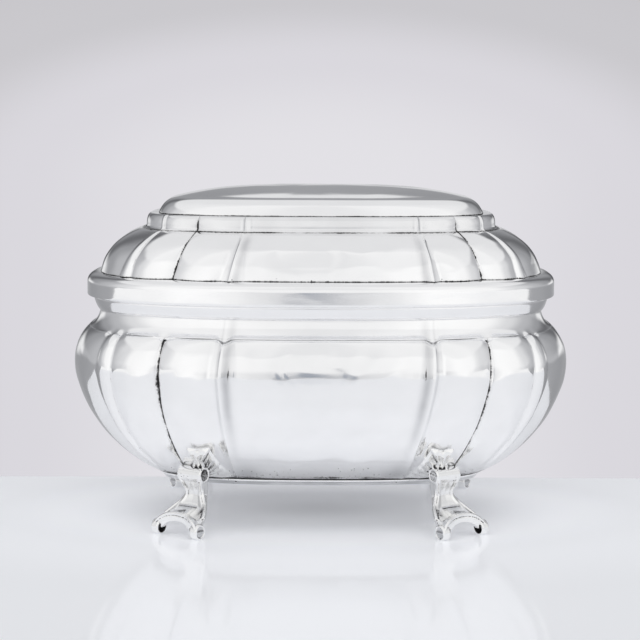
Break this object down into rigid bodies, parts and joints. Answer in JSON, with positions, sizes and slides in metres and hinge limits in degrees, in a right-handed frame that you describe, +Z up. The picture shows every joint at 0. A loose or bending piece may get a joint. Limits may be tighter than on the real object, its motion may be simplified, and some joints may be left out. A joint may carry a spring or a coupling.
{
  "type": "lidded casket",
  "caption": "Lobed oval silver casket on cast scroll feet, with a hinged domed lid and a smooth oval top.",
  "frame": {"origin": "on the resting plane, under the middle of the bowl", "axes": "+Z up, +X along the casket's length to the right seen from the front, front towards -Y, hinge at the back towards +Y"},
  "size_m": [0.15, 0.107, 0.1011],
  "materials": {
    "polished_silver": "hand-polished silver, dark in the creases",
    "moulding_silver": "polished silver wire and strip",
    "cast_silver": "cast silver, dark in the hollows",
    "inside_silver": "satin silver"
  },
  "bodies": {
    "casket_body": {"body_shell": "polished_silver", "base_plate": "inside_silver", "base_moulding": "moulding_silver", "body_rim_moulding": "moulding_silver", "bezel_strip": "inside_silver", "foot_front_left": "cast_silver", "foot_front_right": "cast_silver", "foot_rear_left": "cast_silver", "foot_rear_right": "cast_silver", "hinge_bearer_body": "moulding_silver", "hinge_pin": "cast_silver", "hinge_knuckle_1": "moulding_silver", "hinge_knuckle_3": "moulding_silver", "hinge_knuckle_5": "moulding_silver"},
    "casket_lid": {"lid_band": "polished_silver", "lid_shell": "polished_silver", "lid_top_plate": "polished_silver", "hinge_bearer_lid": "moulding_silver", "hinge_knuckle_2": "moulding_silver", "hinge_knuckle_4": "moulding_silver"}
  },
  "joints": [
    {"name": "lid_hinge", "type": "hinge", "parent": "casket_body", "child": "casket_lid", "pos_m": [0, 0.0492, 0.0684], "axis": [-1, 0, 0], "range_deg": [0, 105]}
  ]
}
